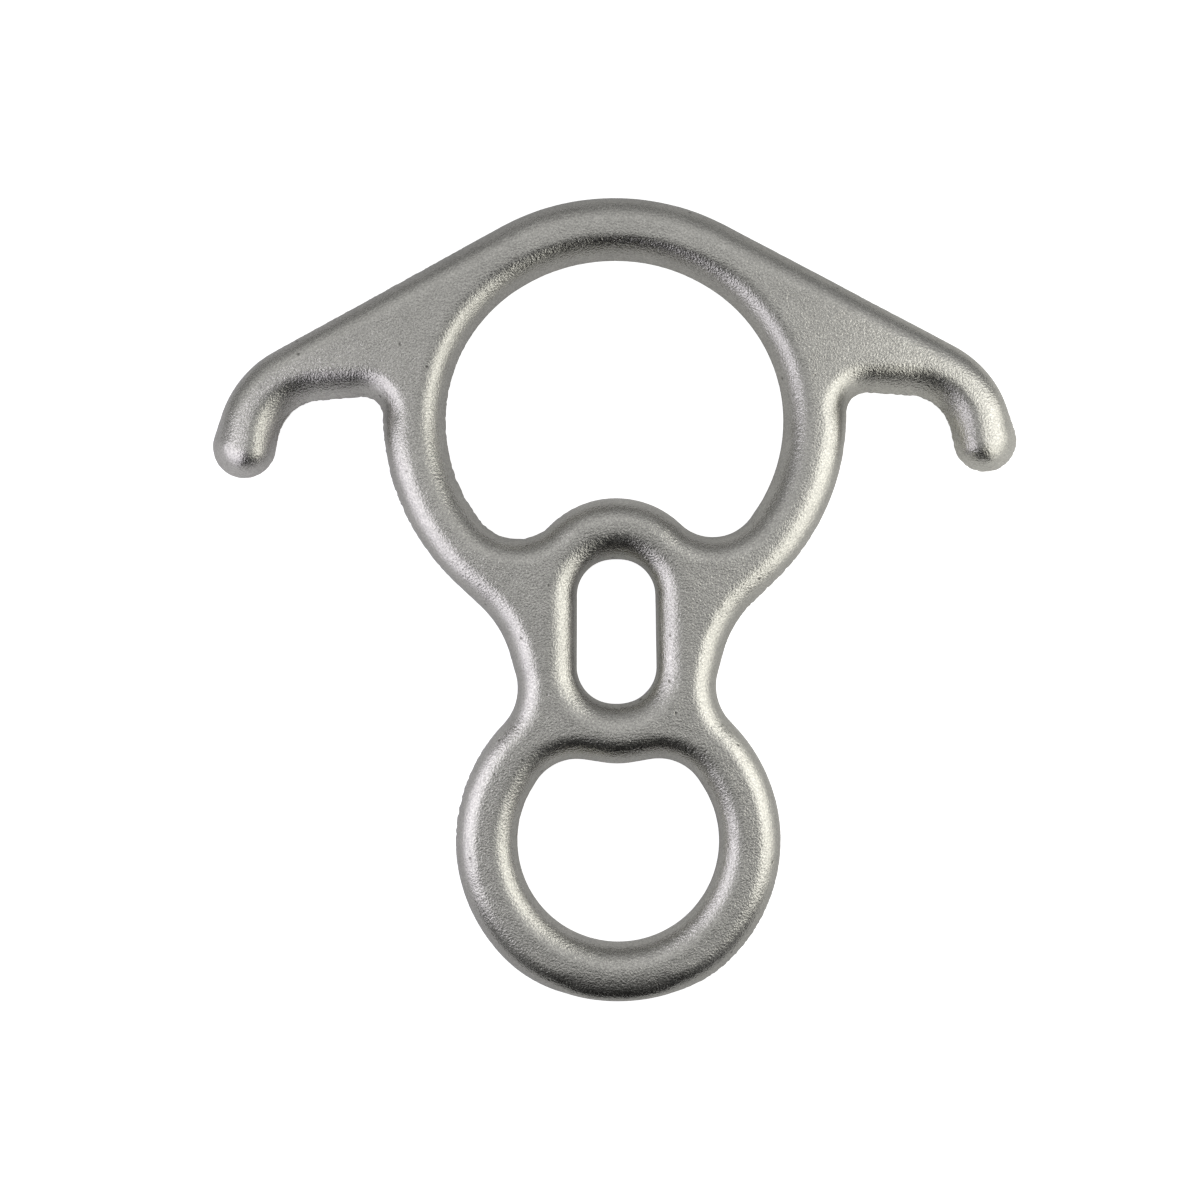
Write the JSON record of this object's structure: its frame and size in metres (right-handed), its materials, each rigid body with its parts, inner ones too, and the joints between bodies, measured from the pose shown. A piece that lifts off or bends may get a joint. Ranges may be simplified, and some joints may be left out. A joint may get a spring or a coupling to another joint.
{
  "type": "rescue figure eight descender",
  "caption": "One-piece forged steel rescue figure eight with a large rope eye, two hooked ears, a central slot and a small karabiner eye.",
  "frame": {"origin": "on the surface that the part lies on, under the middle of its bounding box", "axes": "+Z through the thickness, +Y from the small eye towards the large eye and the ears, +X to the right"},
  "size_m": [0.18, 0.18, 0.013],
  "materials": {
    "stainless_steel": "tumbled satin"
  },
  "bodies": {
    "root": {"forged_body": "stainless_steel"}
  },
  "joints": []
}
